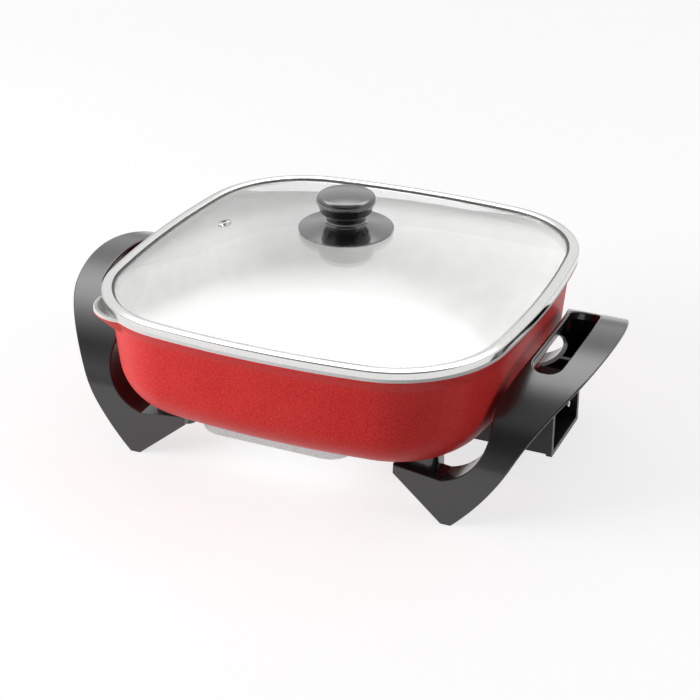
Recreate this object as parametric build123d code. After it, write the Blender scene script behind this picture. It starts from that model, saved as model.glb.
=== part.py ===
from build123d import *
import math
import os

# Square electric skillet with a loose glass lid and two arched handles that are also its feet.
# Lengths are in millimetres and angles in degrees. The origin is on the table under the middle of the
# pan. +Z is up, +X points to the handle over the power inlet, and -Y is the front.

# Clearances
seat_gap = 0.3  # between curved or drafted faces that lie side by side
slip_gap = 0.15  # round a rod, tube or screw in its hole
overrun = 5.0  # how far a cutter runs past what it cuts

# Plan of the lid and the pan
lid_span = 300.0  # across two opposite sides
side_bulge = 17.2  # how far a side bows out over its whole span
corner_radius = 80.0

# Pan
stand_height = 42.4  # underside of the pan above the table
pan_height = 78.6
pan_wall = 3.5
pan_floor = 5.0
wall_draft = 5.1
bottom_radius = 34.0
lid_overhang = 0.6  # the lid stands this far out past the pan's rim
rim_overhang = 4.75  # the rim stands this far out past the wall
lip_height = 11.0
lip_edge = 3.0  # upright edge of the rim
lip_cove = 10.0  # hollow rounding under the rim
rim_rounding = 1.2
spout_reach = 7.5  # the pouring lip's tip past the lid's corner
spout_radius = 27.0
spout_depth = 12.0
spout_lean = 43.0
spout_wall = 3.0
spout_blend = 3.0  # hollow rounding where the pouring lip leaves the wall
seam_shares = (0.1, 0.5, 0.9)  # along an edge, where it is tested
boss_radius = 5.0  # screw bosses under the pan
boss_height = 4.0
boss_bite = 2.0  # how far a screw hole runs on into the pan's floor

# Screws
screw_radius = 2.0
screw_head_radius = 3.8
screw_head_height = 2.4
screw_end_gap = 0.5  # left free at the end of a screw hole
cross_width = 1.1
cross_depth = 1.4
washer_radius = 4.6
washer_thickness = 1.0

# Handles
handle_height = 105.4
foot_span = 208.0  # front foot to rear foot, over the outside
crest_radius = 156.0
shoulder_radius = 77.6
leg_lean = 5.62
handle_depth = 20.0  # depth of the moulding behind its outer face
handle_skin = 3.0
handle_rounding = 1.0  # along the edges of its outer face
rib_thickness = 2.5
grip_out = 50.8  # the grip's outer edge past the lid
rail_gap = 4.0  # from the lid to the grip's inner rail
rail_radius = 220.0
rail_thickness = 3.1
rail_depth = 5.5
finger_gap = 20.8
finger_length = 98.0
finger_corner = 9.0
leg_inset = 8.5  # the legs' inner edge inside the lid's side
leg_root_height = 72.0  # where that edge starts to curve in to the arm
foot_inset = 31.75
foot_flat = 8.5
crotch_inset = 37.0
arm_inset = 71.3
arm_drop = 13.9  # from the pan's underside to the arm's lower corner
arm_end_height = 6.7
crotch_drop = 4.0  # from the arm's upper corner to the crotch
block_end = 2.7  # the mounting block past the arm's end
block_length = 31.0
block_width = 22.0
block_set_back = 9.5  # from the foot's face to the block
block_drop = 16.4  # from the pan's underside to the block's underside
block_rounding = 7.0
block_recess = 6.0  # how deep the screw head and washer sit
recess_gap = 0.9  # round the washer
outer_edge_shares = ((0.287, 0.240), (0.493, 0.487), (0.825, 0.848))
crotch_middle_shares = (0.70, 0.29)
rib_height_shares = (0.22, 0.40)

# Heater base and heating element
base_clear = 5.0  # from the base to the left handle's blocks
base_guard_gap = 45.0  # from the base to the power inlet's guard
base_inset = 45.0  # the base's front and rear inside the lid's sides
base_depth = 15.0
base_corner = 20.0
base_draft = 8.0
base_wall = 3.0
base_rounding = 3.0
base_screw_share = 0.692  # of the room between the base's middle and the element
base_screw_depth_share = 0.5
post_wall = 2.4
element_radius = 3.3
element_gap = 0.2  # from the element to the pan and to its groove
loop_margin = 18.0  # from the base's edge to the element's middle
loop_bend = 14.0
rail_width = 11.0

# Power inlet
pin_spacing = 41.0
pin_radius = 2.4
pin_root_radius = 1.6  # where the pin runs through its insulator
pin_tip_rounding = 1.4
pin_set_back = 3.5  # from the guard's mouth to the pin tips
insulator_length = 28.0
sheath_end_run = 8.0  # the element's sheath past the guard's back wall
well_radius = 5.0  # tube for the thermostat's feeler
well_bore_radius = 3.3
well_end_wall = 3.0
well_seat = 22.0  # how deep the tube sits in the base
well_set_back = 28.0
hub_wall = 3.0
guard_out = 16.5  # the guard's mouth past the lid
guard_back_inset = 58.0
guard_wall = 2.5
guard_side_gap = 2.2
guard_below = 14.7  # from the pins' middle to the guard's underside
guard_above = 21.3
guard_pan_gap = 1.0
guard_flange = 4.0
guard_flange_out = 1.3
guard_rounding = 1.5
ear_length = 12.0
ear_width = 12.0
ear_thickness = 5.0

# Lid
rim_sheet = 0.8
rim_cover = 7.0  # how far the steel rim reaches over the glass
rim_edge_rounding = 1.4
fin_gap = 0.8  # from the rim's locating fin to the pan's mouth
fin_depth = 5.0
glass_thickness = 4.0
glass_edge_gap = 0.3
glass_land = 9.0  # flat edge of the glass, from the lid's outline
dome_rise = 25.8
dome_top_share = 0.21
dome_shares = (1.0, 0.82, 0.62, 0.42)
top_bulge_share = 0.75
top_corner_share = 0.85
vent_inset = 54.0  # from the lid's left side
vent_tube_radius = 2.6
vent_bore_radius = 1.8
vent_flange_radius = 4.8
vent_flange = 0.7

# Knob
gasket_radius = 28.0
gasket_thickness = 0.8
plate_radius = 33.4
plate_edge = 1.2
plate_rise = 5.0
knob_foot_radius = 15.0
knob_waist_radius = 13.9
knob_neck_radius = 14.4
knob_neck_height = 5.0
knob_tier_low_radius = 18.4
knob_tier_low = 9.0  # heights on the knob are above its foot
knob_tier_radius = 20.2
knob_tier_top = 14.8
knob_cap_radius = 20.9
knob_cap_low = 15.5
knob_crown_radius = 18.4
knob_crown = 20.4
knob_height = 22.3
insert_radius = 4.5
insert_length = 12.0
knob_screw_run = 10.0  # how far the screw runs up into the knob
seal_radius = 9.0
seal_thickness = 1.0
knob_washer_radius = 8.0

# Values that follow from the sizes above
lid_half = lid_span / 2
side_radius = (lid_half**2 + side_bulge**2) / (2 * side_bulge)
rim_top = stand_height + pan_height
wall_inset = lid_overhang + rim_overhang
mouth_inset = wall_inset + pan_wall
boss_bottom = stand_height - boss_height
upright = (Align.CENTER, Align.CENTER, Align.MIN)


def rounded_square(half, side, corner):
    """Flat face with four bowed sides and four round corners, each arc running smoothly into the next."""
    behind = side - half
    between = side - corner
    corner_middle = (math.sqrt(2 * between**2 - behind**2) - behind) / 2
    lean = math.degrees(math.atan2(corner_middle, corner_middle + behind))
    edges = []
    for turn in (0, 90, 180, 270):
        side_middle = Vector(-behind, 0).rotate(Axis.Z, turn)
        round_middle = Vector(corner_middle, corner_middle).rotate(Axis.Z, turn)
        edges.append(CenterArc(side_middle, side, turn - lean, 2 * lean))
        edges.append(CenterArc(round_middle, corner, turn + lean, 90 - 2 * lean))
    return Face(Wire(edges))


def outline(inset, height):
    """The lid's outline drawn in by an inset, at a height."""
    return Pos(0, 0, height) * rounded_square(lid_half - inset, side_radius - inset, corner_radius - inset)


def cylinder(radius, low, high, x=0, y=0):
    """Upright cylinder between two heights."""
    return Pos(x, y, low) * Cylinder(radius, high - low, align=upright)


def rod(radius, start, end, y, z):
    """Cylinder along X between two places."""
    return Plane((start, y, z), z_dir=(1, 0, 0)) * Cylinder(radius, end - start, align=upright)


def block(low, high):
    """Box between its lowest and highest corners."""
    size = Vector(*high) - Vector(*low)
    return Pos(*low) * Box(size.X, size.Y, size.Z, align=Align.MIN)


def edges_at(shape, height, reach):
    """Edges that lie flat at a height, to within a reach."""
    found = []
    for edge in shape.edges():
        box = edge.bounding_box()
        if abs(box.min.Z - height) < reach and abs(box.max.Z - height) < reach:
            found.append(edge)
    return found


def screw(x, y, seat, end):
    """Cross-head screw that is driven up from below, with the top of its head at the seat."""
    head = cylinder(screw_head_radius, seat - screw_head_height, seat, x, y)
    head = fillet(head.faces().sort_by(Axis.Z)[0].edges(), screw_head_height / 2)
    cross = Box(2 * screw_radius, cross_width, 2 * cross_depth)
    cross += Box(cross_width, 2 * screw_radius, 2 * cross_depth)
    shank = cylinder(screw_radius, seat, end, x, y)
    return head + shank - Pos(x, y, seat - screw_head_height) * cross


def drafted_pan(gap):
    """Outside of the pan's drafted, round-bottomed body, grown by a gap."""
    body = extrude(outline(wall_inset - gap, rim_top), pan_height + gap, dir=(0, 0, -1), taper=wall_draft)
    return fillet(body.faces().sort_by(Axis.Z)[0].edges(), bottom_radius + gap)


# Places under the pan that its screws share
arm_x = lid_half - arm_inset
block_x = arm_x - block_end
block_y = foot_span / 2 - block_set_back - block_width
handle_screw_x = block_x + block_length / 2
handle_screw_y = block_y + block_width / 2
block_low = stand_height - block_drop
handle_screw_places = [(handle_screw_x, handle_screw_y), (handle_screw_x, -handle_screw_y)]

guard_back = lid_half - guard_back_inset
base_left = base_clear - block_x
base_right = guard_back - base_guard_gap
base_length = base_right - base_left
base_middle = (base_left + base_right) / 2
base_half = lid_half - base_inset
base_low = stand_height - base_depth
base_screw_room = base_length / 2 - loop_margin - element_radius - boss_radius - seat_gap
base_screw_places = []
for side_x in (-1, 1):
    for side_y in (-1, 1):
        screw_x = base_middle + side_x * base_screw_share * base_screw_room
        base_screw_places.append((screw_x, side_y * base_screw_depth_share * base_half))

pin_y = pin_spacing / 2
pin_z = stand_height - element_gap - element_radius
guard_half = pin_y + element_radius + guard_side_gap + guard_wall
guard_mouth = lid_half + guard_out
guard_low = pin_z - guard_below
guard_high = pin_z + guard_above
guard_screw_x = guard_back + ear_length / 2
guard_screw_y = guard_half + ear_width / 2
guard_screw_places = [(guard_screw_x, guard_screw_y), (guard_screw_x, -guard_screw_y)]

screw_hole_end = stand_height + boss_bite
screw_end = screw_hole_end - screw_end_gap


# Pan with its flared rim, pouring lip and screw bosses
def make_pan():
    flare_in = rim_overhang + lip_height * math.tan(math.radians(wall_draft))
    flare_down = lip_height - lip_edge
    flare = math.degrees(math.atan2(flare_in, flare_down))
    buried = flare_down * (pan_wall / 2) / flare_in
    edge_low = rim_top - lip_edge
    shell = drafted_pan(0)
    shell += extrude(outline(lid_overhang, edge_low), flare_down + buried, dir=(0, 0, -1), taper=flare)
    shell += extrude(outline(lid_overhang, edge_low), lip_edge)
    shell = fillet(edges_at(shell, rim_top - lip_height, lip_edge / 2), lip_cove)

    between = side_radius - corner_radius
    behind = side_radius - lid_half
    corner_middle = (math.sqrt(2 * between**2 - behind**2) - behind) / 2
    corner_reach = corner_middle * math.sqrt(2) + corner_radius
    spout_middle = -(corner_reach + spout_reach - spout_radius) / math.sqrt(2)
    narrowing = spout_depth * math.tan(math.radians(spout_lean))
    inner_radius = spout_radius - spout_wall
    spout_place = Pos(spout_middle, spout_middle, edge_low - spout_depth)
    spout = spout_place * Cone(spout_radius - narrowing, spout_radius, spout_depth, align=upright)
    spout += cylinder(spout_radius, edge_low, rim_top, spout_middle, spout_middle)
    channel_place = Pos(spout_middle, spout_middle, rim_top - spout_depth)
    channel = channel_place * Cone(inner_radius - narrowing, inner_radius, spout_depth, align=upright)

    cavity_depth = pan_height - pan_floor
    cavity = extrude(outline(mouth_inset, rim_top), cavity_depth, dir=(0, 0, -1), taper=wall_draft)
    cavity = fillet(cavity.faces().sort_by(Axis.Z)[0].edges(), bottom_radius - pan_wall)
    pan = shell + spout
    seam = []
    for edge in pan.edges():
        spots = [Vertex(*(edge @ share)) for share in seam_shares]
        apart = max(max(shell.distance_to(spot), spout.distance_to(spot)) for spot in spots)
        if apart < slip_gap and spots[1].Z < rim_top - slip_gap:
            seam.append(edge)
    pan = fillet(seam, spout_blend) - cavity - channel
    pan = fillet(edges_at(pan, rim_top, seat_gap), rim_rounding)

    places = list(base_screw_places) + list(guard_screw_places)
    for x, y in handle_screw_places:
        places += [(x, y), (-x, y)]
    for x, y in places:
        pan += cylinder(boss_radius, boss_bottom, stand_height + pan_floor / 2, x, y)
    for x, y in places:
        pan -= cylinder(screw_radius + slip_gap, boss_bottom, screw_hole_end, x, y)
    return pan


# Handles, moulded hollow, each an arch that stands on two feet
def arch(inset, bottom):
    """Area under the handle's arch, seen along X, with the arch drawn in by an inset."""
    lean = math.radians(leg_lean)
    foot = foot_span / 2
    crest_middle = handle_height - crest_radius
    start_y = foot - shoulder_radius * math.cos(lean)
    start_z = -shoulder_radius * math.sin(lean) - crest_middle
    half_b = start_z * math.cos(lean) - start_y * math.sin(lean)
    rest_c = start_y**2 + start_z**2 - (crest_radius - shoulder_radius) ** 2
    along = math.sqrt(half_b**2 - rest_c) - half_b
    middle_y = start_y - along * math.sin(lean)
    middle_z = start_z + crest_middle + along * math.cos(lean)
    turn = math.atan2(middle_z - crest_middle, middle_y)
    radius = shoulder_radius - inset
    half_turn = (lean + turn) / 2
    leg_top = (middle_y + radius * math.cos(lean), middle_z + radius * math.sin(lean))
    bend = (middle_y + radius * math.cos(half_turn), middle_z + radius * math.sin(half_turn))
    crest_end = (middle_y + radius * math.cos(turn), middle_z + radius * math.sin(turn))
    leg_low = (leg_top[0] + (leg_top[1] - bottom) * math.tan(lean), bottom)

    def other(point):
        return (-point[0], point[1])

    lines = [
        Line(leg_low, leg_top),
        ThreePointArc(leg_top, bend, crest_end),
        ThreePointArc(crest_end, (0, handle_height - inset), other(crest_end)),
        ThreePointArc(other(crest_end), other(bend), other(leg_top)),
        Line(other(leg_top), other(leg_low)),
        Line(other(leg_low), leg_low),
    ]
    return Face(Wire([Plane.YZ.from_local_coords(line) for line in lines]))


def handle_side():
    """Outline of a handle seen from the front: foot, blade-like outer edge, leg and arm."""
    grip_x = lid_half + grip_out
    leg_x = lid_half - leg_inset
    foot_x = lid_half - foot_inset
    foot_out = (foot_x + foot_flat / 2, 0)
    foot_in = (foot_x - foot_flat / 2, 0)
    width = grip_x - foot_out[0]
    edge = [(foot_out[0] + width * x, handle_height * z) for x, z in outer_edge_shares]
    tip = (grip_x, handle_height)
    top = handle_height + overrun
    arm_low = stand_height - arm_drop
    arm_high = arm_low + arm_end_height
    crotch = (lid_half - crotch_inset, arm_high - crotch_drop)
    root = (leg_x, leg_root_height)
    middle = (
        crotch[0] + (root[0] - crotch[0]) * crotch_middle_shares[0],
        crotch[1] + (root[1] - crotch[1]) * crotch_middle_shares[1],
    )
    lower = ThreePointArc(foot_out, edge[0], edge[1])
    upper = TangentArc(edge[1], edge[2], tangent=lower % 1)
    flare = TangentArc(edge[2], tip, tangent=upper % 1)
    lines = [
        Line(foot_in, foot_out),
        lower,
        upper,
        flare,
        Line(tip, (grip_x, top)),
        Line((grip_x, top), (leg_x, top)),
        Line((leg_x, top), root),
        ThreePointArc(root, middle, crotch),
        Line(crotch, (arm_x, arm_high)),
        Line((arm_x, arm_high), (arm_x, arm_low)),
        Line((arm_x, arm_low), foot_in),
    ]
    return make_face(lines)


def along_y(face):
    """Solid that a front-view outline sweeps from the front to the rear."""
    return extrude(Plane.XZ * face, foot_span, both=True)


def finger_hole(grow):
    """Slot for the fingers, curved along the rail, grown by a margin."""
    middle = (lid_half + rail_gap - rail_radius, 0)
    inner = rail_radius + rail_thickness - grow
    outer = rail_radius + rail_thickness + finger_gap + grow
    half = finger_length / 2 + grow
    inner_turn = math.degrees(math.asin(half / inner))
    outer_turn = math.degrees(math.asin(half / outer))
    inner_arc = CenterArc(middle, inner, -inner_turn, 2 * inner_turn)
    outer_arc = CenterArc(middle, outer, -outer_turn, 2 * outer_turn)
    ends = [Line(inner_arc @ 0, outer_arc @ 0), Line(inner_arc @ 1, outer_arc @ 1)]
    slot = make_face([inner_arc, outer_arc] + ends)
    slot = fillet(slot.vertices(), finger_corner + grow)
    return extrude(slot, handle_height + overrun)


def make_handle():
    rail_middle = lid_half + rail_gap - rail_radius
    rail_low = handle_height - handle_depth - overrun
    inner_x = block_x - overrun
    run = lid_half + grip_out + overrun - inner_x
    place = Pos(inner_x, 0, 0)
    shape = place * extrude(arch(0, 0), run)
    shape -= place * extrude(arch(handle_depth, -overrun), run)
    shape &= along_y(handle_side())
    shape -= cylinder(rail_radius, rail_low, handle_height + overrun, rail_middle)

    hollow = place * extrude(arch(handle_skin, -overrun), run)
    hollow &= along_y(offset(handle_side(), -handle_skin))
    hollow -= cylinder(rail_radius + handle_skin, rail_low, handle_height + overrun, rail_middle)
    hollow -= finger_hole(handle_skin)
    block_out = block_x + block_length
    hollow -= block((inner_x, -foot_span, 0), (block_out + handle_skin, foot_span, handle_height))
    for share in rib_height_shares:
        rib_low = share * handle_height
        hollow -= block((0, -foot_span, rib_low), (inner_x + run, foot_span, rib_low + rib_thickness))
    shape = shape - hollow - finger_hole(0)
    hole_middle = lid_half + rail_gap + rail_thickness + finger_gap / 2
    rail_side = block((inner_x, -finger_length / 2, 0), (hole_middle, finger_length / 2, handle_height))
    below = place * extrude(arch(rail_depth, -overrun), run)
    shape -= below & (rail_side + finger_hole(handle_skin + seat_gap))

    for x, y in handle_screw_places:
        post = Pos(x, y) * RectangleRounded(block_length, block_width, block_rounding)
        shape += extrude(Pos(0, 0, block_low) * post, block_drop)
    shape -= drafted_pan(seat_gap)
    seat = block_low + block_recess
    for x, y in handle_screw_places:
        shape -= cylinder(washer_radius + recess_gap, block_low, seat, x, y)
        shape -= cylinder(screw_radius + slip_gap, block_low, stand_height, x, y)
        shape -= cylinder(boss_radius + seat_gap, boss_bottom, stand_height, x, y)

    outside = place * extrude(arch(0, 0), run)
    inside = place * extrude(arch(handle_skin, 0), run)
    skin = []
    for face in shape.faces():
        corners = face.vertices()
        on_outside = all(outside.distance_to(corner) < slip_gap / 2 for corner in corners)
        if on_outside and all(inside.distance_to(corner) > slip_gap for corner in corners):
            skin.append(face)
    skin_edges = [edge for face in skin for edge in face.edges()]
    border = [edge for edge in skin_edges if skin_edges.count(edge) == 1]
    return fillet([edge for edge in border if edge.bounding_box().max.Z > handle_skin], handle_rounding)


# Heater base, a cast tray that clamps the element to the pan
def element_path(reach):
    """Middle line of the element: in from one pin, round the base and back out to the other pin."""
    right = base_right - loop_margin
    left = base_left + loop_margin
    far = base_half - loop_margin
    points = [(reach, -pin_y), (right, -pin_y), (right, -far), (left, -far)]
    points += [(x, -y) for x, y in reversed(points)]
    return Pos(0, 0, pin_z) * FilletPolyline(*points, radius=loop_bend)


def swept(profile, reach):
    """A profile, drawn across and up, carried along the element's path."""
    start = Plane((reach, -pin_y, pin_z), x_dir=(0, -1, 0), z_dir=(-1, 0, 0))
    return sweep(start * profile, path=element_path(reach))


def make_base():
    plan = Pos(base_middle, 0, stand_height) * RectangleRounded(base_length, 2 * base_half, base_corner)
    full = extrude(plan, base_depth, dir=(0, 0, -1), taper=base_draft)
    full = fillet(full.faces().sort_by(Axis.Z)[0].edges(), base_rounding)
    pocket_plan = RectangleRounded(
        base_length - 2 * base_wall, 2 * base_half - 2 * base_wall, base_corner - base_wall
    )
    pocket_plan = Pos(base_middle, 0, stand_height) * pocket_plan
    pocket = extrude(pocket_plan, base_depth - base_wall, dir=(0, 0, -1), taper=base_draft)
    floor_top = base_low + base_wall
    rail = swept(Rectangle(rail_width, 2 * (pin_z - floor_top)), sheath_end)
    inside = block((base_left, -base_half, floor_top), (base_right, base_half, pin_z))
    base = full - pocket + (rail & inside & full)
    hub_half = well_radius + hub_wall
    hub_start = base_right - well_seat - hub_wall
    base += block((hub_start, -hub_half, floor_top), (base_right, hub_half, stand_height)) & full
    for x, y in base_screw_places:
        base += cylinder(boss_radius + post_wall, base_low, boss_bottom, x, y)
    groove_radius = element_radius + element_gap
    groove_side = Rectangle(2 * groove_radius, base_depth, align=(Align.CENTER, Align.MIN))
    base -= swept(Circle(groove_radius) + groove_side, sheath_end)
    base -= rod(well_radius + slip_gap, base_right - well_seat, base_right + overrun, 0, well_z)
    for x, y in base_screw_places:
        base -= cylinder(screw_radius + slip_gap, base_low, boss_bottom, x, y)
        base -= cylinder(screw_head_radius + slip_gap, base_low, base_screw_seat, x, y)
    return base


# Guard round the terminal pins, open to the outside
def make_guard():
    inner_half = guard_half - guard_wall
    guard = block((guard_back, -guard_half, guard_low), (guard_mouth, guard_half, guard_high))
    flange_start = guard_mouth - guard_flange
    flange_half = guard_half + guard_flange_out
    flange_low = guard_low - guard_flange_out
    flange_high = guard_high + guard_flange_out
    flange = block((flange_start, -flange_half, flange_low), (guard_mouth, flange_half, flange_high))
    guard += fillet(flange.edges().filter_by(Axis.X), guard_rounding)
    for _, y in guard_screw_places:
        far = math.copysign(guard_half + ear_width, y)
        near = math.copysign(inner_half, y)
        low = (guard_back, min(far, near), boss_bottom - ear_thickness)
        high = (guard_back + ear_length, max(far, near), boss_bottom)
        guard += block(low, high)
    inside_low = (guard_back + guard_wall, -inner_half, guard_low + guard_wall)
    guard -= block(inside_low, (guard_mouth + overrun, inner_half, guard_high - guard_wall))
    guard -= drafted_pan(guard_pan_gap)
    hole_start = guard_back - overrun
    hole_end = guard_back + guard_wall + overrun
    for y in (-pin_y, pin_y):
        guard -= rod(element_radius + seat_gap, hole_start, hole_end, y, pin_z)
    guard -= rod(well_radius + seat_gap, hole_start, hole_end, 0, well_z)
    for x, y in guard_screw_places:
        guard -= cylinder(screw_radius + slip_gap, boss_bottom - ear_thickness, boss_bottom, x, y)
    return guard


# Lid
def make_rim():
    glass_low = rim_top + rim_sheet
    slot = glass_thickness + slip_gap
    height = 2 * rim_sheet + slot
    fin_outer = mouth_inset + fin_gap
    fin_inner = fin_outer + rim_sheet
    rim = extrude(outline(0, rim_top), height)
    rim = fillet(edges_at(rim, rim_top + height, seat_gap), rim_edge_rounding)
    rim = fillet(edges_at(rim, rim_top, seat_gap), rim_sheet)
    rim -= extrude(outline(rim_sheet, glass_low), slot)
    rim -= extrude(outline(rim_cover, glass_low), height)
    fin = extrude(outline(fin_outer, rim_top - fin_depth), fin_depth + rim_sheet)
    rim = rim + fin - extrude(outline(fin_inner, rim_top - fin_depth), fin_depth + height)
    return rim


def dome(height):
    """Solid under the lid's dome, standing at a height: rounded square at its foot and nearly round on top."""
    foot_half = lid_half - glass_land
    foot_radius = side_radius - glass_land
    foot_bulge = (foot_radius - math.sqrt(foot_radius**2 - foot_half**2)) / foot_half
    foot_corner = (corner_radius - glass_land) / foot_half
    sections = []
    for share in dome_shares + (dome_top_share,):
        rounder = (1 - share) / (1 - dome_top_share)
        rise = dome_rise * (1 - share**2) / (1 - dome_top_share**2)
        half = foot_half * share
        bulge = half * (foot_bulge + (top_bulge_share - foot_bulge) * rounder)
        corner = half * (foot_corner + (top_corner_share - foot_corner) * rounder)
        side = (half**2 + bulge**2) / (2 * bulge)
        sections.append(Pos(0, 0, height + rise) * rounded_square(half, side, corner))
    return loft(sections)


def make_glass():
    low = rim_top + rim_sheet
    glass = extrude(outline(rim_sheet + glass_edge_gap, low), glass_thickness)
    glass += dome(low + glass_thickness)
    glass -= dome(low)
    return glass


def make_plate():
    """Shallow cone under the knob."""
    profile = Polyline(
        (0, plate_low),
        (plate_radius, plate_low),
        (plate_radius, plate_low + plate_edge),
        (knob_foot_radius, knob_foot),
        (0, knob_foot),
        close=True,
    )
    plate = revolve(make_face(Plane.XZ * profile), Axis.Z)
    return plate - cylinder(screw_radius + slip_gap, plate_low, knob_foot)


def make_knob():
    """Turned knob: foot, waist, tapered tier, round cap and low crown."""
    z = knob_foot
    waist_z = z + knob_neck_height / 2
    cap_z = z + (knob_cap_low + knob_crown) / 2
    crown_drop = knob_height - knob_crown
    crown_curve = (knob_crown_radius**2 + crown_drop**2) / (2 * crown_drop)
    crown_x = knob_crown_radius / 2
    crown_z = z + knob_height - crown_curve + math.sqrt(crown_curve**2 - crown_x**2)
    neck = (knob_neck_radius, z + knob_neck_height)
    cap_foot = (knob_cap_radius, z + knob_cap_low)
    shoulder = (knob_crown_radius, z + knob_crown)
    cap_middle = (knob_cap_radius, cap_z)
    summit = (0, z + knob_height)
    lines = [
        Line((0, z), (knob_foot_radius, z)),
        ThreePointArc((knob_foot_radius, z), (knob_waist_radius, waist_z), neck),
        Line(neck, (knob_tier_low_radius, z + knob_tier_low)),
        Line((knob_tier_low_radius, z + knob_tier_low), (knob_tier_radius, z + knob_tier_top)),
        Line((knob_tier_radius, z + knob_tier_top), cap_foot),
        ThreePointArc(cap_foot, cap_middle, shoulder),
        ThreePointArc(shoulder, (crown_x, crown_z), summit),
        Line(summit, (0, z)),
    ]
    knob = revolve(make_face([Plane.XZ * line for line in lines]), Axis.Z)
    return knob - cylinder(insert_radius + slip_gap, z, z + insert_length)


def make_vent(glass):
    """Rolled steel eyelet square to the glass, and the hole that it sits in."""
    hits = glass.find_intersection_points(Axis((vent_inset - lid_half, 0, 0), (0, 0, 1)))
    point, normal = max(hits, key=lambda hit: hit[0].Z)
    place = Plane(point, z_dir=normal)
    reach = glass_thickness / 2 + slip_gap
    middle = Pos(0, 0, -glass_thickness / 2)
    tube = Cylinder(vent_tube_radius, 2 * reach)
    for side in (-1, 1):
        tube += Pos(0, 0, side * (reach + vent_flange / 2)) * Cylinder(vent_flange_radius, vent_flange)
    outer_edges = tube.edges().filter_by(GeomType.CIRCLE).group_by(Axis.Z)[-1]
    tube = fillet(outer_edges, vent_flange / 2)
    tube -= Cylinder(vent_bore_radius, 4 * reach + 4 * vent_flange)
    hole = Cylinder(vent_tube_radius + slip_gap, 4 * reach)
    return place * middle * tube, place * middle * hole


# Heights that several pieces share
well_z = stand_height - seat_gap - well_radius
base_screw_seat = base_low + base_wall + screw_head_height / 2
glass_top = rim_top + rim_sheet + glass_thickness + dome_rise
plate_low = glass_top + gasket_thickness
knob_foot = plate_low + plate_rise
glass_under = glass_top - glass_thickness
sheath_end = guard_back + sheath_end_run
insulator_end = sheath_end + insulator_length
pin_tip = guard_mouth - pin_set_back

parts = {}
parts["pan_body"] = make_pan()

# Left and right handles with their screws and washers
right_handle = make_handle()
parts["handle_right"] = right_handle
parts["handle_left"] = mirror(right_handle, about=Plane.YZ)
handle_seat = block_low + block_recess
right_screws = [screw(x, y, handle_seat - washer_thickness, screw_end) for x, y in handle_screw_places]
parts["handle_right_screws"] = Compound(children=right_screws)
left_screws = [screw(-x, y, handle_seat - washer_thickness, screw_end) for x, y in handle_screw_places]
parts["handle_left_screws"] = Compound(children=left_screws)
washers = []
for x, y in handle_screw_places:
    for side in (-1, 1):
        ring = cylinder(washer_radius, handle_seat - washer_thickness, handle_seat, side * x, y)
        hole = cylinder(screw_radius + slip_gap, handle_seat - washer_thickness, handle_seat, side * x, y)
        washers.append(ring - hole)
parts["handle_washers"] = Compound(children=washers)

# Heater under the pan
parts["heater_base"] = make_base()
parts["heating_element"] = swept(Circle(element_radius), sheath_end)
base_screws = [screw(x, y, base_screw_seat, screw_end) for x, y in base_screw_places]
parts["base_screws"] = Compound(children=base_screws)

# Power inlet
for name, y in (("front", -pin_y), ("rear", pin_y)):
    pin = rod(pin_radius, insulator_end, pin_tip, y, pin_z)
    pin = fillet(pin.faces().sort_by(Axis.X)[-1].edges(), pin_tip_rounding)
    parts["terminal_pin_" + name] = pin + rod(pin_root_radius, sheath_end, insulator_end, y, pin_z)
insulators = []
for y in (-pin_y, pin_y):
    bush = rod(element_radius, sheath_end, insulator_end, y, pin_z)
    insulators.append(bush - rod(pin_root_radius + slip_gap, sheath_end, insulator_end, y, pin_z))
parts["pin_insulators"] = Compound(children=insulators)
well_start = base_right - well_seat
well_mouth = guard_mouth - well_set_back
well = rod(well_radius, well_start, well_mouth, 0, well_z)
parts["sensor_well"] = well - rod(well_bore_radius, well_start + well_end_wall, well_mouth, 0, well_z)
parts["probe_guard"] = make_guard()
ear_low = boss_bottom - ear_thickness
guard_screws = [screw(x, y, ear_low, screw_end) for x, y in guard_screw_places]
parts["guard_screws"] = Compound(children=guard_screws)

# Lid and knob
whole_glass = make_glass()
eyelet, vent_hole = make_vent(whole_glass)
stem_hole = cylinder(screw_radius + slip_gap, glass_under - overrun, glass_top + overrun)
parts["lid_glass"] = whole_glass - vent_hole - stem_hole
parts["lid_rim"] = make_rim()
parts["vent_eyelet"] = eyelet
gasket = cylinder(gasket_radius, glass_top, plate_low)
parts["knob_gasket"] = gasket - cylinder(screw_radius + slip_gap, glass_top, plate_low)
parts["knob_plate"] = make_plate()
parts["lid_knob"] = make_knob()
insert = cylinder(insert_radius, knob_foot, knob_foot + insert_length)
parts["knob_insert"] = insert - cylinder(screw_radius + slip_gap, knob_foot, knob_foot + insert_length)
seal_low = glass_under - seal_thickness
seal = cylinder(seal_radius, seal_low, glass_under)
parts["knob_seal"] = seal - cylinder(screw_radius + slip_gap, seal_low, glass_under)
knob_washer_low = seal_low - washer_thickness
knob_washer = cylinder(knob_washer_radius, knob_washer_low, seal_low)
parts["knob_washer"] = knob_washer - cylinder(screw_radius + slip_gap, knob_washer_low, seal_low)
parts["knob_screw"] = screw(0, 0, knob_washer_low, knob_foot + knob_screw_run)

os.makedirs("parts", exist_ok=True)
for name, shape in parts.items():
    export_step(shape, "parts/" + name + ".step")
    box = shape.bounding_box()
    print(name, "solids", len(shape.solids()), "valid", shape.is_valid, "box", box.min, box.max)
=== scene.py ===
# %% [markdown]
# # A square electric skillet with a loose glass lid
# The imported model holds every rigid piece of the skillet at its real size, so this lesson starts from it
# and adds what a solid can't show: paint, glass, polished steel and moulded black plastic. The frame is
# loaded first.

# %% Load the frame
import math

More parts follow.
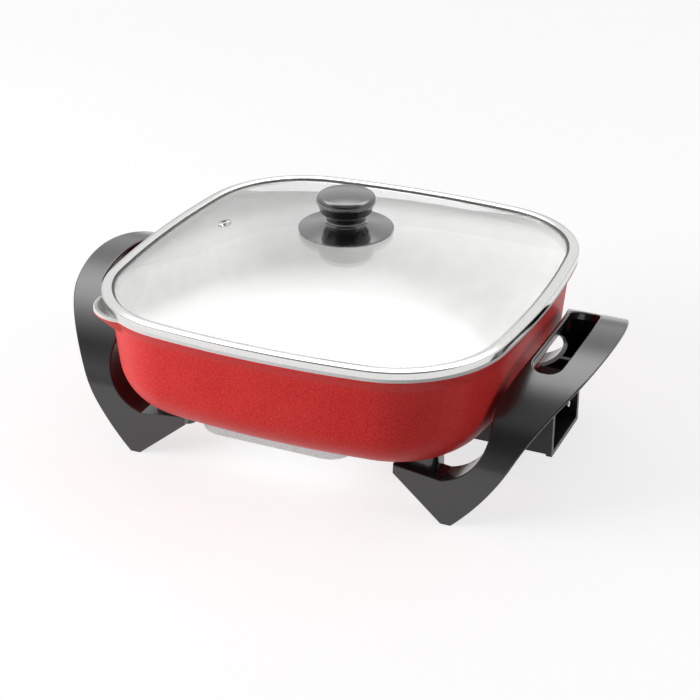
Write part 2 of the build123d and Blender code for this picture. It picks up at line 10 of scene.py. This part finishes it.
import bpy
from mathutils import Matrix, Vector


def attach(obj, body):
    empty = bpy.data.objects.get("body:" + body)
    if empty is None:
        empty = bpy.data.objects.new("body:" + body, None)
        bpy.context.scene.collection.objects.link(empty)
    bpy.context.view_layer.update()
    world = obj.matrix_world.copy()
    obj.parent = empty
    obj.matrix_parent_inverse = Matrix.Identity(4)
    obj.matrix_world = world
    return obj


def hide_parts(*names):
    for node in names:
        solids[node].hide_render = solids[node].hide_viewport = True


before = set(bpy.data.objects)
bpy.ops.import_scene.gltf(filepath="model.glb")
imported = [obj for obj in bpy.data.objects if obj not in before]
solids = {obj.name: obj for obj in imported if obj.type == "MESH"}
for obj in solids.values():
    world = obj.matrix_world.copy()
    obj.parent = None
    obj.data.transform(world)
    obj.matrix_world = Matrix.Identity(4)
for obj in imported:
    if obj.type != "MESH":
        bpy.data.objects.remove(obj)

scene = bpy.context.scene
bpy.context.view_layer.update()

# %% [markdown]
# ## Camera
# The skillet is seen from its front right, from a little above, by a long lens: the near and the far rim
# are almost parallel. A camera could be aimed by a Track To constraint, but then it would fight with other
# views, so its direction is worked out once from two angles and written to the object.

# %% Camera
view_turn = math.radians(24.04)
view_rise = math.radians(27.03)
view_distance = 1.3067
frame_pixels = 700
focal_pixels = 1776.7
sensor_width = 36.0
near_clip = 0.05
aim_right = 0.00272
aim_up = 0.05091

backward = Vector((math.sin(view_turn) * math.cos(view_rise),
                   -math.cos(view_turn) * math.cos(view_rise),
                   math.sin(view_rise)))
rightward = Vector((math.cos(view_turn), math.sin(view_turn), 0.0))
upward = backward.cross(rightward)
aim = rightward * aim_right + upward * aim_up

bpy.ops.object.select_all(action="DESELECT")
bpy.ops.object.camera_add(location=aim + backward * view_distance)
camera = bpy.context.object
camera.name = "camera"
camera.rotation_mode = "QUATERNION"
camera.rotation_quaternion = (-backward).to_track_quat("-Z", "Y")
camera.data.sensor_width = sensor_width
camera.data.lens = sensor_width * focal_pixels / frame_pixels
camera.data.clip_start = near_clip
scene.camera = camera
print("camera at", [round(v, 3) for v in camera.location], "lens", round(camera.data.lens, 1))

# %% [markdown]
# ## Helpers for node trees
# The world, the floor and the finishes are all node trees, and two small nodes come back in each: one that
# does a sum on two values, and one that turns a value into a soft step. A direction is given by two
# angles, as for the camera: a turn from the front and a rise above the floor.

# %% Node helpers
def direction(turn, rise):
    """Unit vector at a turn from the front and a rise above the floor, in degrees."""
    turn = math.radians(turn)
    rise = math.radians(rise)
    return Vector((math.sin(turn) * math.cos(rise), -math.cos(turn) * math.cos(rise), math.sin(rise)))


def math_node(tree, operation, first, second):
    """A Math node on two sockets."""
    node = tree.nodes.new("ShaderNodeMath")
    node.operation = operation
    tree.links.new(first, node.inputs[0])
    tree.links.new(second, node.inputs[1])
    return node.outputs[0]


def soft_step(tree, value, start, stop, low, high):
    """A soft step from low to high while a value goes from start to stop."""
    span = tree.nodes.new("ShaderNodeMapRange")
    span.interpolation_type = "SMOOTHSTEP"
    for name, number in zip(("From Min", "From Max", "To Min", "To Max"), (start, stop, low, high)):
        span.inputs[name].default_value = number
    tree.links.new(value, span.inputs["Value"])
    return span.outputs["Result"]


print("front", [round(v, 3) for v in direction(0.0, 0.0)])

# %% [markdown]
# ## Studio
# Goods like this are photographed on a white sweep, under large soft lamps. Seen straight or through the
# glass, the world is white. What shines sees a room instead: pale walls, a bright screen overhead all
# round, and the dark side where the camera stands. Black plastic and steel only show their shape by such
# zones. Lamps alone could make them, but their hard edges would show in the glass.

# %% World
scene.view_settings.view_transform = "Standard"
world = bpy.data.worlds.new("studio")
scene.world = world
world.use_nodes = True
sky_tree = world.node_tree
sky = sky_tree.nodes["Background"]
sky.inputs["Color"].default_value = (1.0, 1.0, 1.0, 1.0)
sky_place = sky_tree.nodes.new("ShaderNodeTexCoord").outputs["Generated"]
sky_path = sky_tree.nodes.new("ShaderNodeLightPath").outputs
sky_axes = sky_tree.nodes.new("ShaderNodeSeparateXYZ")
sky_tree.links.new(sky_place, sky_axes.inputs[0])


def zone(turn, rise, inner, outer, level):
    """A factor that is level within an inner angle of a direction and 1 beyond the outer angle."""
    ahead = sky_tree.nodes.new("ShaderNodeVectorMath")
    ahead.operation = "DOT_PRODUCT"
    ahead.inputs[1].default_value = direction(turn, rise)
    sky_tree.links.new(sky_place, ahead.inputs[0])
    start = math.cos(math.radians(outer))
    stop = math.cos(math.radians(inner))
    return soft_step(sky_tree, ahead.outputs["Value"], start, stop, 1.0, level)


def rise_step(low_rise, high_rise, low, high):
    """A soft step between two rises above the floor, in degrees."""
    start = math.sin(math.radians(low_rise))
    stop = math.sin(math.radians(high_rise))
    return soft_step(sky_tree, sky_axes.outputs["Z"], start, stop, low, high)


sky_as_lamp = 0.19
sky_as_ground = 1.0
walls = rise_step(low_rise=2.0, high_rise=16.0, low=0.45, high=0.95)
screen = rise_step(low_rise=35.0, high_rise=54.0, low=0.0, high=2.7)
dark_side = zone(turn=22.0, rise=48.0, inner=38.0, outer=62.0, level=0.14)
room = math_node(sky_tree, "ADD", walls, screen)
mirrored = math_node(sky_tree, "MULTIPLY", room, dark_side)
clear_view = math_node(sky_tree, "MAXIMUM", sky_path["Is Camera Ray"], sky_path["Is Transmission Ray"])
lamp_or_view = soft_step(sky_tree, clear_view, 0.0, 1.0, sky_as_lamp, sky_as_ground)
sky_level = sky_tree.nodes.new("ShaderNodeMix")
sky_tree.links.new(sky_path["Is Glossy Ray"], sky_level.inputs["Factor"])
sky_tree.links.new(lamp_or_view, sky_level.inputs["A"])
sky_tree.links.new(mirrored, sky_level.inputs["B"])
sky_tree.links.new(sky_level.outputs["Result"], sky.inputs["Strength"])
print("world", world.name, "as a lamp", sky_as_lamp)

# %% [markdown]
# ## Floor
# The floor is one pale sheet. It takes the lamps and the shadow, and part of its white is its own, seen
# by the camera, by metal and by glass, so that lit floor is white and the shadow stays light. Far out, all
# of its white is its own, so it runs into the white world with no edge, as a paper sweep does. A curved
# backdrop could do the same, but it would stand in the way when the skillet is seen from behind.

# %% Floor sheet
floor_half = 4.0
bpy.ops.object.select_all(action="DESELECT")
bpy.ops.mesh.primitive_plane_add(size=2 * floor_half)
floor = bpy.context.object
floor.name = "floor"
print("floor", 2 * floor_half, "m across")

# %% Floor paint
near_reach, far_reach = 0.7, 2.6
lit_near, lit_far = 0.56, 0.0
own_near, own_far = 0.70, 1.0
floor_paint = bpy.data.materials.new("floor_paint")
floor_paint.use_nodes = True
floor_tree = floor_paint.node_tree
floor_tree.nodes.remove(floor_tree.nodes["Principled BSDF"])
floor_place = floor_tree.nodes.new("ShaderNodeTexCoord")
floor_reach = floor_tree.nodes.new("ShaderNodeVectorMath")
floor_reach.operation = "LENGTH"
floor_tree.links.new(floor_place.outputs["Object"], floor_reach.inputs[0])
reach = floor_reach.outputs["Value"]
lit_share = soft_step(floor_tree, reach, near_reach, far_reach, lit_near, lit_far)
own_share = soft_step(floor_tree, reach, near_reach, far_reach, own_near, own_far)

sheet = floor_tree.nodes.new("ShaderNodeBsdfDiffuse")
floor_tree.links.new(lit_share, sheet.inputs["Color"])
own_white = floor_tree.nodes.new("ShaderNodeEmission")
floor_path = floor_tree.nodes.new("ShaderNodeLightPath").outputs
floor_view = math_node(floor_tree, "MAXIMUM", floor_path["Is Camera Ray"], floor_path["Is Transmission Ray"])
floor_seen = math_node(floor_tree, "MAXIMUM", floor_view, floor_path["Is Glossy Ray"])
floor_tree.links.new(math_node(floor_tree, "MULTIPLY", floor_seen, own_share), own_white.inputs["Strength"])
floor_sum = floor_tree.nodes.new("ShaderNodeAddShader")
floor_tree.links.new(sheet.outputs[0], floor_sum.inputs[0])
floor_tree.links.new(own_white.outputs[0], floor_sum.inputs[1])
floor_tree.links.new(floor_sum.outputs[0], floor_tree.nodes["Material Output"].inputs["Surface"])
floor.data.materials.append(floor_paint)
print(floor_paint.name, "fades from", near_reach, "to", far_reach, "m")

# %% [markdown]
# ## Lamps
# Four soft rectangles stand round the skillet: the key lamp low at the front left, for the red walls, a
# weak one above, a weak one behind, and one at the right for the inside of the pan. Point lamps would be
# quicker to set, but only a large lamp gives the soft shadows of a studio. The zones of the world already
# shine in what is glossy, so the lamps themselves are hidden from mirrors.

# %% Softboxes
lamp_target = Vector((0.0, 0.0, 0.09))
watts_per_area = 4.0  # on a square metre, for a brightness of 1


def add_softbox(name, turn, rise, distance, width, height, brightness):
    """A rectangular lamp at two angles from the skillet, with the brightness of its own face."""
    away = direction(turn, rise)
    bpy.ops.object.select_all(action="DESELECT")
    bpy.ops.object.light_add(type="AREA", location=lamp_target + away * distance)
    lamp = bpy.context.object
    lamp.name = name
    lamp.rotation_mode = "QUATERNION"
    lamp.rotation_quaternion = (-away).to_track_quat("-Z", "Y")
    lamp.data.shape = "RECTANGLE"
    lamp.data.size = width
    lamp.data.size_y = height
    lamp.data.energy = watts_per_area * width * height * brightness
    lamp.visible_camera = False
    lamp.visible_glossy = False
    print(name, "at", [round(v, 2) for v in lamp.location], "W", round(lamp.data.energy, 1))


add_softbox("key_softbox", turn=-56.0, rise=12.0, distance=1.9, width=1.4, height=1.1, brightness=5.2)
add_softbox("top_softbox", turn=190.0, rise=72.0, distance=1.9, width=2.0, height=1.6, brightness=0.15)
add_softbox("back_softbox", turn=196.0, rise=38.0, distance=2.2, width=2.4, height=1.4, brightness=0.25)
add_softbox("side_softbox", turn=105.0, rise=24.0, distance=2.0, width=1.2, height=0.8, brightness=2.0)

# %% [markdown]
# ## Helpers for the finishes
# Every finish is a small node tree on Object coordinates, which are metres here, so a noise of scale 1000
# has grains of about a millimetre. Small helpers start a finish, make a grain, turn a grain into numbers,
# colours or a relief, and give the finish to the solids. A picture could be wrapped round each piece
# instead, but a noise has no seams and no end.

# %% Finish helpers
def start_finish(name):
    """A new node material: (material, its tree, its shader's inputs, the Object coordinates)."""
    finish = bpy.data.materials.new(name)
    finish.use_nodes = True
    tree = finish.node_tree
    place = tree.nodes.new("ShaderNodeTexCoord")
    return finish, tree, tree.nodes["Principled BSDF"].inputs, place.outputs["Object"]


def grain(tree, place, scale, detail=2.0, stretch=(1.0, 1.0, 1.0)):
    """Noise with that many grains to a metre, drawn out along an axis where its stretch is small."""
    mapping = tree.nodes.new("ShaderNodeMapping")
    mapping.inputs["Scale"].default_value = stretch
    tree.links.new(place, mapping.inputs["Vector"])
    noise = tree.nodes.new("ShaderNodeTexNoise")
    noise.inputs["Scale"].default_value = scale
    noise.inputs["Detail"].default_value = detail
    tree.links.new(mapping.outputs["Vector"], noise.inputs["Vector"])
    return noise.outputs["Fac"]


grain_low, grain_high = 0.3, 0.7  # where most of a noise lies


def spread(tree, value, low, high, socket):
    """The grain's middle range as numbers from low to high, on a socket."""
    span = tree.nodes.new("ShaderNodeMapRange")
    for name, number in zip(("From Min", "From Max", "To Min", "To Max"), (grain_low, grain_high, low, high)):
        span.inputs[name].default_value = number
    tree.links.new(value, span.inputs["Value"])
    tree.links.new(span.outputs["Result"], socket)


def tint(tree, value, dark, light, socket):
    """The grain's middle range as colours from dark to light, on a socket."""
    ramp = tree.nodes.new("ShaderNodeValToRGB")
    ends = ramp.color_ramp.elements
    for end, position, colour in zip(ends, (grain_low, grain_high), (dark, light)):
        end.position = position
        end.color = (*colour, 1.0)
    tree.links.new(value, ramp.inputs["Fac"])
    tree.links.new(ramp.outputs["Color"], socket)


def relief(tree, value, depth, strength, socket):
    """The grain as a height on the surface, depth in metres, on a shader's Normal socket."""
    bump = tree.nodes.new("ShaderNodeBump")
    bump.inputs["Strength"].default_value = strength
    bump.inputs["Distance"].default_value = depth
    tree.links.new(value, bump.inputs["Height"])
    tree.links.new(bump.outputs["Normal"], socket)


def paint(names, finish):
    """Gives CAD nodes that finish through their material slots."""
    for name in names:
        slots = solids[name].material_slots
        for place in slots:
            place.material = finish
        if not slots:
            solids[name].data.materials.append(finish)
    print(finish.name, "on", ", ".join(names))


# %% [markdown]
# ## Red paint
# The pan is cast aluminium, and outside it is sprayed with a red paint full of fine flakes, which glitter
# as grains of about a millimetre. Real flakes could be scattered as a mesh, but they are far too many, so
# they are a fine noise in the colour, the roughness and the relief. A wider, weaker noise keeps large
# faces from looking flat.

# %% Red paint
red_paint, tree, skin, place = start_finish("red_flake_paint")
flakes = grain(tree, place, scale=1300.0, detail=1.0)
cloud = grain(tree, place, scale=22.0)
cloud_share = 0.18
both = tree.nodes.new("ShaderNodeMix")
both.data_type = "FLOAT"
both.inputs["Factor"].default_value = cloud_share
tree.links.new(flakes, both.inputs[2])
tree.links.new(cloud, both.inputs[3])
tint(tree, both.outputs[0], (0.62, 0.012, 0.012), (0.97, 0.075, 0.070), skin["Base Color"])
spread(tree, flakes, 0.34, 0.52, skin["Roughness"])
skin["Specular Tint"].default_value = (1.0, 0.34, 0.30, 1.0)
skin["Specular IOR Level"].default_value = 0.38
relief(tree, flakes, depth=0.00018, strength=0.7, socket=skin["Normal"])
print(red_paint.name)

# %% [markdown]
# ## White ceramic
# Inside, the pan has a smooth white ceramic coat that food doesn't stick to. It is a half-gloss white, not
# a mirror. A plain white would do from afar, but up close a coat is never even, so a wide mottle moves its
# colour and its gloss a little, and a faint ripple stands for the way it was sprayed.

# %% White ceramic
white_ceramic, tree, skin, place = start_finish("white_ceramic_coat")
mottle = grain(tree, place, scale=60.0, detail=3.0)
ripple = grain(tree, place, scale=240.0, detail=1.0)
tint(tree, mottle, (0.80, 0.80, 0.79), (0.86, 0.86, 0.85), skin["Base Color"])
spread(tree, mottle, 0.28, 0.38, skin["Roughness"])
skin["Specular IOR Level"].default_value = 0.2
relief(tree, ripple, depth=0.0001, strength=0.15, socket=skin["Normal"])
print(white_ceramic.name)

# %% [markdown]
# ## Pan
# The solid has the pan's whole shape, but one solid has one finish. The two coats could be two thin shells,
# but these would fight over the same place. So the solid's mesh is copied, its loose triangles are merged,
# and the faces that look up or inwards get the ceramic. The rim's edge is cut a little below its top,
# because there the white coat ends on a real pan. The copy replaces the node.

# %% Merged copy of a solid
merge_distance = 1e-6


def merged_copy(name, node, finishes):
    """A copy of a solid's mesh with its triangles merged and nothing selected, as the active object."""
    copy = bpy.data.objects.new(name, solids[node].data.copy())
    scene.collection.objects.link(copy)
    copy.data.materials.clear()
    for finish in finishes:
        copy.data.materials.append(finish)
    bpy.ops.object.select_all(action="DESELECT")
    copy.select_set(True)
    bpy.context.view_layer.objects.active = copy
    bpy.ops.mesh.customdata_custom_splitnormals_clear()
    bpy.ops.object.mode_set(mode="EDIT")
    bpy.ops.mesh.select_all(action="SELECT")
    bpy.ops.mesh.remove_doubles(threshold=merge_distance)
    bpy.ops.mesh.select_all(action="DESELECT")
    bpy.ops.object.mode_set(mode="OBJECT")
    return copy


def top_of(piece):
    """The greatest height of a piece's corners."""
    return max(corner.co.z for corner in piece.data.vertices)


pan = merged_copy("pan", "pan_body", (red_paint, white_ceramic))
print("pan", len(pan.data.polygons), "faces, top in mm", round(1000 * top_of(pan), 1))

# %% Pan in two finishes
coat_drop = 0.0022
coat_edge = top_of(pan) - coat_drop
bpy.ops.object.mode_set(mode="EDIT")
bpy.ops.mesh.select_all(action="SELECT")
bpy.ops.mesh.bisect(plane_co=(0.0, 0.0, coat_edge), plane_no=(0.0, 0.0, 1.0))
bpy.ops.mesh.select_all(action="DESELECT")
bpy.ops.object.mode_set(mode="OBJECT")

cooking_floor = 0.0474
edge_slack = 0.0005
up_limit = 0.2
coated = 0
for face in pan.data.polygons:
    faces_in = face.normal.x * face.center.x + face.normal.y * face.center.y < 0.0
    looks_up = face.normal.z > up_limit or face.center.z > coat_edge
    if face.center.z > cooking_floor - edge_slack and (faces_in or looks_up):
        face.select = True
        coated += 1
pan.active_material_index = 1
bpy.ops.object.mode_set(mode="EDIT")
bpy.ops.object.material_slot_assign()
bpy.ops.object.mode_set(mode="OBJECT")

pan_crease = math.radians(32.0)
bpy.ops.object.shade_smooth_by_angle(angle=pan_crease)
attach(pan, "base")
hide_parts("pan_body")
print("pan", len(pan.data.polygons), "faces,", coated, "with ceramic")

# %% [markdown]
# ## Satin black mouldings
# Handles and guard are moulded from a heat-proof black resin with a satin skin. They are nearly black, so
# what shows is gloss. One even roughness would look like a drawing, so it varies softly, and a shallow
# relief breaks up what they mirror, the way a moulded skin does.

# %% Satin black for handles and guard
resin_ior = 1.62
handle_black, tree, skin, place = start_finish("handle_satin_black")
pores = grain(tree, place, scale=420.0)
flow = grain(tree, place, scale=14.0)
tint(tree, flow, (0.008, 0.008, 0.009), (0.016, 0.016, 0.017), skin["Base Color"])
spread(tree, flow, 0.20, 0.30, skin["Roughness"])
skin["IOR"].default_value = resin_ior
skin["Coat Weight"].default_value = 0.5
skin["Coat Roughness"].default_value = 0.1
relief(tree, pores, depth=0.00005, strength=0.2, socket=skin["Normal"])
paint(["handle_right", "handle_left"], handle_black)

guard_black, tree, skin, place = start_finish("guard_satin_black")
pores = grain(tree, place, scale=520.0)
tint(tree, pores, (0.007, 0.007, 0.007), (0.014, 0.014, 0.014), skin["Base Color"])
spread(tree, pores, 0.30, 0.42, skin["Roughness"])
relief(tree, pores, depth=0.00005, strength=0.2, socket=skin["Normal"])
paint(["probe_guard"], guard_black)

# %% [markdown]
# ## Polished black
# Knob and plate are of the same resin, but their mould is polished, so they shine. A clear coat over a
# smooth base gives the two gleams of such a skin, a sharp one and a soft one; one shader without the coat
# would have to choose between them.

# %% Polished black for knob and plate
knob_black, tree, skin, place = start_finish("knob_gloss_black")
haze = grain(tree, place, scale=45.0)
polish = grain(tree, place, scale=300.0, detail=1.0)
tint(tree, haze, (0.006, 0.006, 0.006), (0.012, 0.012, 0.012), skin["Base Color"])
spread(tree, haze, 0.12, 0.2, skin["Roughness"])
skin["Specular IOR Level"].default_value = 0.8
skin["IOR"].default_value = resin_ior
skin["Coat Weight"].default_value = 1.0
skin["Coat Roughness"].default_value = 0.08
relief(tree, polish, depth=0.00003, strength=0.1, socket=skin["Normal"])
paint(["lid_knob", "knob_plate"], knob_black)

# %% [markdown]
# ## Lid glass
# The lid is one pane of clear tempered glass. Real glass lets lamps through, but a renderer's glass would
# throw a shadow like a solid. Caustics could mend that slowly, so here the glass turns into a clear film
# for shadow rays, which keeps the pan's inside as bright as it really is.

# %% Lid glass
lid_glass, tree, skin, place = start_finish("lid_clear_glass")
film = grain(tree, place, scale=9.0)
tint(tree, film, (0.985, 0.992, 0.99), (0.995, 0.998, 0.997), skin["Base Color"])
skin["Transmission Weight"].default_value = 1.0
skin["IOR"].default_value = 1.5
skin["Specular IOR Level"].default_value = 0.12
skin["Roughness"].default_value = 0.0
clear = tree.nodes.new("ShaderNodeBsdfTransparent")
clear.inputs["Color"].default_value = (0.95, 0.955, 0.952, 1.0)
rays = tree.nodes.new("ShaderNodeLightPath")
through = tree.nodes.new("ShaderNodeMixShader")
tree.links.new(rays.outputs["Is Shadow Ray"], through.inputs[0])
tree.links.new(tree.nodes["Principled BSDF"].outputs[0], through.inputs[1])
tree.links.new(clear.outputs[0], through.inputs[2])
tree.links.new(through.outputs[0], tree.nodes["Material Output"].inputs["Surface"])
paint(["lid_glass"], lid_glass)

# %% [markdown]
# ## Steel of the lid
# Rim and eyelet are thin stainless strip, polished where a hand and an eye get to and left dull as rolled
# where they don't. Both finishes are a metal with fine lines from drawing or rolling. One steel for all
# would be simpler, but then the hidden side of the rim would show as a black band through the glass.

# %% Polished and rolled steel
rim_steel, tree, skin, place = start_finish("rim_polished_steel")
draw_lines = grain(tree, place, scale=500.0, stretch=(1.0, 1.0, 6.0))
skin["Metallic"].default_value = 1.0
tint(tree, draw_lines, (0.72, 0.72, 0.71), (0.78, 0.78, 0.77), skin["Base Color"])
spread(tree, draw_lines, 0.10, 0.14, skin["Roughness"])
paint(["vent_eyelet"], rim_steel)

rim_inside, tree, skin, place = start_finish("rim_mill_steel")
roll_marks = grain(tree, place, scale=300.0, stretch=(1.0, 1.0, 8.0))
skin["Metallic"].default_value = 0.4
tint(tree, roll_marks, (0.70, 0.70, 0.69), (0.80, 0.80, 0.79), skin["Base Color"])
spread(tree, roll_marks, 0.42, 0.55, skin["Roughness"])
print(rim_inside.name)

# %% [markdown]
# ## Steel rim
# The rim is a steel strip rolled over the edge of the glass, so its upper side is a low crown and not
# flat. That crown draws the fine bright and dark lines along a real rim. A bevel would only break the
# edges, so the flat lip of a copy of the solid's mesh is raised in two insets, the second flatter than the
# first, and smooth shading rounds them.

# %% Crowned rim
flat_limit = 0.999
crown_rings = ((0.0013, 0.00050), (0.0010, 0.00016))  # (width, rise) of each inset
steel_rim = merged_copy("steel_rim", "lid_rim", (rim_steel, rim_inside))
lip_top = top_of(steel_rim)
for face in steel_rim.data.polygons:
    face.select = face.normal.z > flat_limit and face.center.z > lip_top - edge_slack
bpy.ops.object.mode_set(mode="EDIT")
for ring_width, ring_rise in crown_rings:
    bpy.ops.mesh.inset(thickness=ring_width, depth=ring_rise, use_even_offset=True)
bpy.ops.object.mode_set(mode="OBJECT")
print("steel_rim crown in mm", round(1000 * (top_of(steel_rim) - lip_top), 2))

# %% Rim in two finishes
lip_sheet = 0.0009
dull = 0
for face in steel_rim.data.polygons:
    outward = face.normal.x * face.center.x + face.normal.y * face.center.y
    on_lip = face.center.z > lip_top - lip_sheet and face.normal.z > -up_limit
    if not on_lip and outward < up_limit * face.center.xy.length:
        face.material_index = 1
        dull += 1

rim_crease = math.radians(36.0)
bpy.ops.object.shade_smooth_by_angle(angle=rim_crease)
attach(steel_rim, "lid")
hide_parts("lid_rim")
print("steel_rim", len(steel_rim.data.polygons), "faces,", dull, "as rolled")

# %% [markdown]
# ## Metals underneath
# Below the pan sit the cast heater base, the sheathed element, the terminal pins, the tube for the feeler
# and plated screws. They show in the shade and from below. Each could have a tree of its own, but they only
# differ in grain: cast skin is coarse, drawn tube is streaked, and the sheath is stained by heat. So one
# helper makes them all.

# %% Metals
streaked = (0.05, 1.0, 1.0)
cast_depth = 0.0001


def metal_finish(name, dark, light, low, high, scale, stretch=(1.0, 1.0, 1.0), depth=0.0):
    """A metal with a grain in its colour, roughness and, where it has a depth, its relief."""
    finish, tree, skin, place = start_finish(name)
    skin["Metallic"].default_value = 1.0
    texture = grain(tree, place, scale, detail=3.0, stretch=stretch)
    tint(tree, texture, dark, light, skin["Base Color"])
    spread(tree, texture, low, high, skin["Roughness"])
    if depth:
        relief(tree, texture, depth, strength=0.4, socket=skin["Normal"])
    return finish


cast_base = metal_finish("base_cast_aluminium", (0.52, 0.52, 0.52), (0.68, 0.68, 0.67),
                         0.42, 0.6, scale=700.0, depth=cast_depth)
paint(["heater_base"], cast_base)
drawn_well = metal_finish("well_drawn_aluminium", (0.5, 0.5, 0.5), (0.66, 0.66, 0.66),
                          0.25, 0.4, scale=600.0, stretch=streaked)
paint(["sensor_well"], drawn_well)
sheath = metal_finish("element_stained_sheath", (0.16, 0.13, 0.11), (0.34, 0.30, 0.26),
                      0.35, 0.55, scale=120.0)
paint(["heating_element"], sheath)
nickel = metal_finish("pin_nickel", (0.62, 0.60, 0.56), (0.74, 0.72, 0.68),
                      0.12, 0.24, scale=800.0, stretch=streaked)
paint(["terminal_pin_front", "terminal_pin_rear"], nickel)
zinc = metal_finish("screw_zinc", (0.50, 0.51, 0.52), (0.68, 0.69, 0.70), 0.25, 0.42, scale=900.0)
paint(["handle_right_screws", "handle_left_screws", "handle_washers", "base_screws", "guard_screws",
       "knob_washer", "knob_screw"], zinc)
brass = metal_finish("insert_brass", (0.55, 0.40, 0.16), (0.72, 0.54, 0.24), 0.22, 0.36, scale=700.0)
paint(["knob_insert"], brass)

# %% [markdown]
# ## Ceramic and rubber
# The pins leave the sheath through two beads of unglazed ceramic, and soft rings seal the knob on both
# sides of the glass. Neither is a metal and neither shines, so both get a rough, grainy skin. A bare grey
# and a bare black would do the same work, but would look flat next to the other pieces.

# %% Ceramic and rubber
pin_ceramic, tree, skin, place = start_finish("insulator_ceramic")
speck = grain(tree, place, scale=1100.0)
tint(tree, speck, (0.66, 0.63, 0.57), (0.78, 0.76, 0.71), skin["Base Color"])
spread(tree, speck, 0.5, 0.7, skin["Roughness"])
relief(tree, speck, depth=0.0001, strength=0.2, socket=skin["Normal"])
paint(["pin_insulators"], pin_ceramic)

rubber, tree, skin, place = start_finish("seal_rubber")
bloom = grain(tree, place, scale=400.0, detail=3.0)
tint(tree, bloom, (0.02, 0.02, 0.02), (0.045, 0.045, 0.045), skin["Base Color"])
spread(tree, bloom, 0.6, 0.8, skin["Roughness"])
relief(tree, bloom, depth=0.0001, strength=0.2, socket=skin["Normal"])
paint(["knob_gasket", "knob_seal"], rubber)
